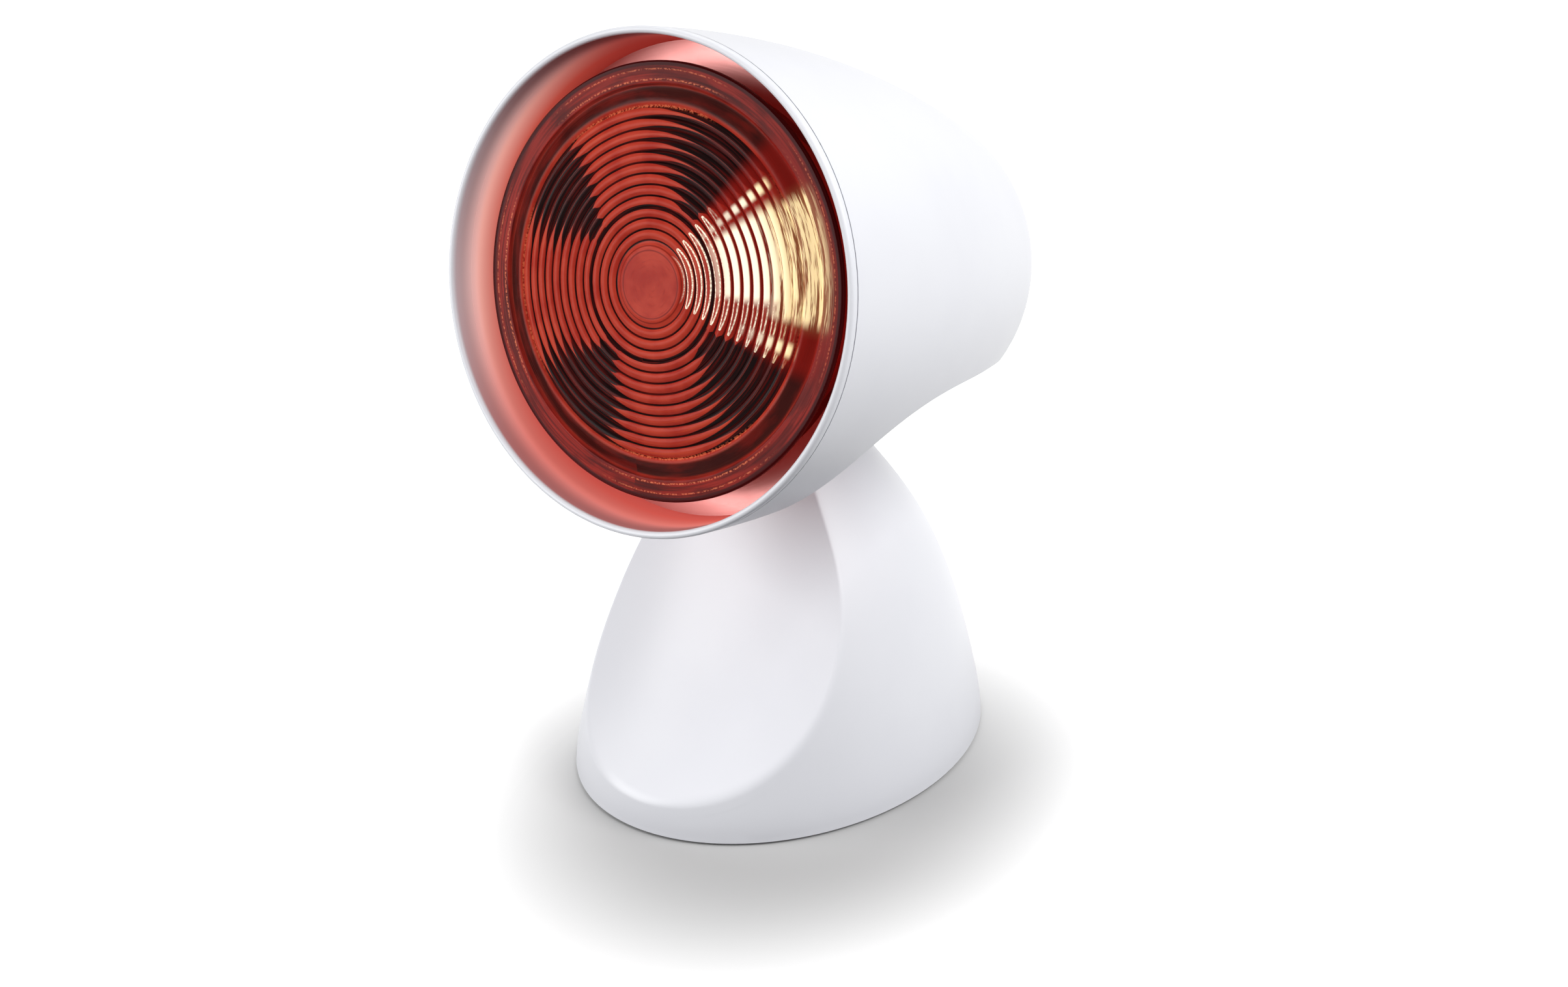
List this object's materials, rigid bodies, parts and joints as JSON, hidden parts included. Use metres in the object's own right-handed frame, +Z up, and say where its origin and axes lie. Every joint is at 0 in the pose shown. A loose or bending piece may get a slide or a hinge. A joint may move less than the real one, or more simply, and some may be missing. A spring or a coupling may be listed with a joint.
{
  "type": "infrared heat lamp",
  "caption": "Tabletop infrared heat lamp: a bell shade holding a ringed red reflector bulb, tilting on a weighted ogive base with a hollowed front panel.",
  "frame": {"origin": "on the ground, under the centre of the base's footprint", "axes": "+Z up; the shade faces -Y, leaning 13 degrees up at rest; +X is on the lamp's left, seen from the lamp, and runs along the tilt axle"},
  "size_m": [0.143, 0.1792, 0.243],
  "materials": {
    "shade_white": "satin white",
    "lens_red": "pressed ruby glass",
    "bulb_glass": "blown glass, mirrored inside",
    "cap_metal": "bright",
    "black_glass": "black vitrite",
    "solder": "soft solder",
    "tungsten": "drawn wire",
    "shield_metal": "bright rolled",
    "ceramic": "glazed ceramic",
    "brass": "plain",
    "zinc_steel": "zinc plated",
    "bush_plastic": "acetal",
    "base_white": "satin white",
    "plate_plastic": "fine texture",
    "foot_rubber": "matt",
    "iron": "as cast",
    "switch_black": "fine texture",
    "rocker_black": "gloss",
    "gland_grey": "matt",
    "clamp_plastic": "nylon",
    "block_plastic": "nylon"
  },
  "bodies": {
    "base": {"base_housing": "base_white", "front_panel": "base_white", "knuckle_bush_left": "bush_plastic", "knuckle_bush_right": "bush_plastic", "base_plate": "plate_plastic", "foot_rear_left": "foot_rubber", "foot_rear_right": "foot_rubber", "foot_front_left": "foot_rubber", "foot_front_right": "foot_rubber", "base_screws": "zinc_steel", "ballast_weight": "iron", "ballast_screws": "zinc_steel", "switch_frame": "switch_black", "switch_blades": "brass", "cable_gland": "gland_grey", "cord_clamp": "clamp_plastic", "clamp_screws": "zinc_steel", "terminal_block": "block_plastic", "terminal_screws": "brass"},
    "head": {"shade_shell": "shade_white", "front_ring": "shade_white", "bulb_lens": "lens_red", "bulb_reflector": "bulb_glass", "bulb_cap": "cap_metal", "bulb_insulator": "black_glass", "bulb_contact": "solder", "filament": "tungsten", "heat_shield": "shield_metal", "lampholder": "ceramic", "holder_sleeve": "brass", "holder_contact": "brass", "holder_bracket": "zinc_steel", "holder_screws": "zinc_steel", "boss_screws": "zinc_steel", "tilt_bracket": "zinc_steel", "saddle_screws": "zinc_steel", "pivot_bolt": "zinc_steel", "pivot_spring_washer": "zinc_steel", "pivot_nut": "zinc_steel", "friction_washer_left": "zinc_steel", "friction_washer_right": "zinc_steel"},
    "rocker": {"switch_rocker": "rocker_black"}
  },
  "joints": [
    {"name": "shade_tilt", "type": "hinge", "parent": "base", "child": "head", "pos_m": [0, 0.008, 0.107], "axis": [1, 0, 0], "range_deg": [-20, 15]},
    {"name": "switch_press", "type": "hinge", "parent": "base", "child": "rocker", "pos_m": [0, 0.06435, 0.03715], "axis": [1, 0, 0], "range_deg": [-12, 0]}
  ]
}
